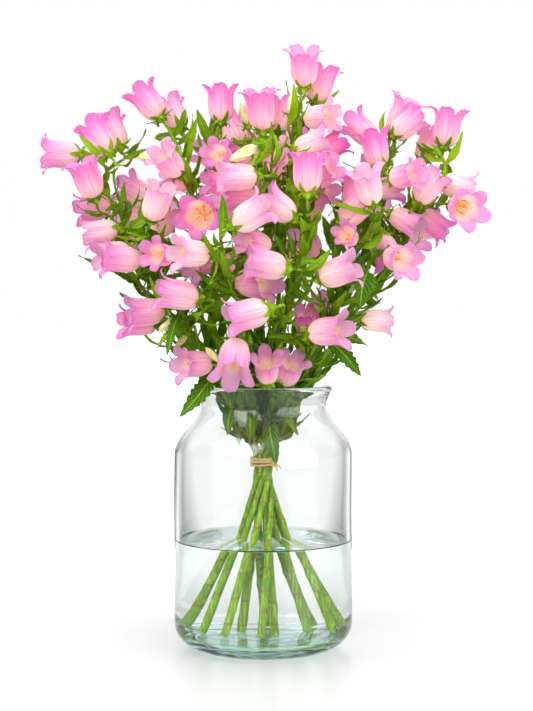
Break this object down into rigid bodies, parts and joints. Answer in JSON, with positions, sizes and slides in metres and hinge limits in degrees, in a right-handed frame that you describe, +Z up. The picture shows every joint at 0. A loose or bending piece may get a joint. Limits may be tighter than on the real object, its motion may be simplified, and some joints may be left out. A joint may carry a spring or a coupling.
{
  "type": "bellflower in vase",
  "caption": "Hand-tied pink Canterbury bells with leafy stems, standing in water in a clear glass jar vase with a rolled rim.",
  "frame": {"origin": "centre of the vase's flat underside", "axes": "+Z up along the vase's axis, -Y to the front of the bunch, +X to its right"},
  "size_m": [0.4345, 0.3176, 0.5919],
  "materials": {
    "clear_glass": "clear hand-blown glass, faintly green at its edges",
    "water": "clear still water",
    "jute_twine": "twisted natural fibre",
    "stems_and_leaves": "soft matt green, slightly hairy",
    "petals": "thin satin petal, pink with paler tubes"
  },
  "bodies": {
    "root": {"bells_back_a": "petals", "bells_back_b": "petals", "bells_back_c": "petals", "bells_back_d": "petals", "bells_front_a": "petals", "bells_front_b": "petals", "bells_front_c": "petals", "bells_front_d": "petals", "bells_front_e": "petals", "bells_front_f": "petals", "bells_front_low_a": "petals", "bells_front_low_b": "petals", "bells_front_low_c": "petals", "bells_left_high_a": "petals", "bells_left_high_b": "petals", "bells_left_high_c": "petals", "bells_left_high_d": "petals", "bells_left_high_e": "petals", "bells_left_low_b": "petals", "bells_left_low_c": "petals", "bells_left_low_d": "petals", "bells_left_mid_a": "petals", "bells_left_mid_b": "petals", "bells_left_mid_c": "petals", "bells_left_mid_d": "petals", "bells_mid_left_a": "petals", "bells_mid_left_b": "petals", "bells_mid_left_d": "petals", "bells_right_far_a": "petals", "bells_right_far_b": "petals", "bells_right_far_c": "petals", "bells_right_far_d": "petals", "bells_right_high_a": "petals", "bells_right_high_b": "petals", "bells_right_high_c": "petals", "bells_right_high_d": "petals", "bells_right_mid_a": "petals", "bells_right_mid_b": "petals", "bells_right_mid_c": "petals", "bells_right_mid_d": "petals", "bells_right_mid_f": "petals", "bells_right_mid_g": "petals", "bells_top_a": "petals", "bells_top_b": "petals", "bells_top_c": "petals", "bells_top_d": "petals", "stem_back": "stems_and_leaves", "stem_front": "stems_and_leaves", "stem_front_low": "stems_and_leaves", "stem_left_high": "stems_and_leaves", "stem_left_low": "stems_and_leaves", "stem_left_mid": "stems_and_leaves", "stem_mid_left": "stems_and_leaves", "stem_right_far": "stems_and_leaves", "stem_right_high": "stems_and_leaves", "stem_right_mid": "stems_and_leaves", "stem_top": "stems_and_leaves", "twine": "jute_twine", "vase": "clear_glass", "water": "water"}
  },
  "joints": []
}
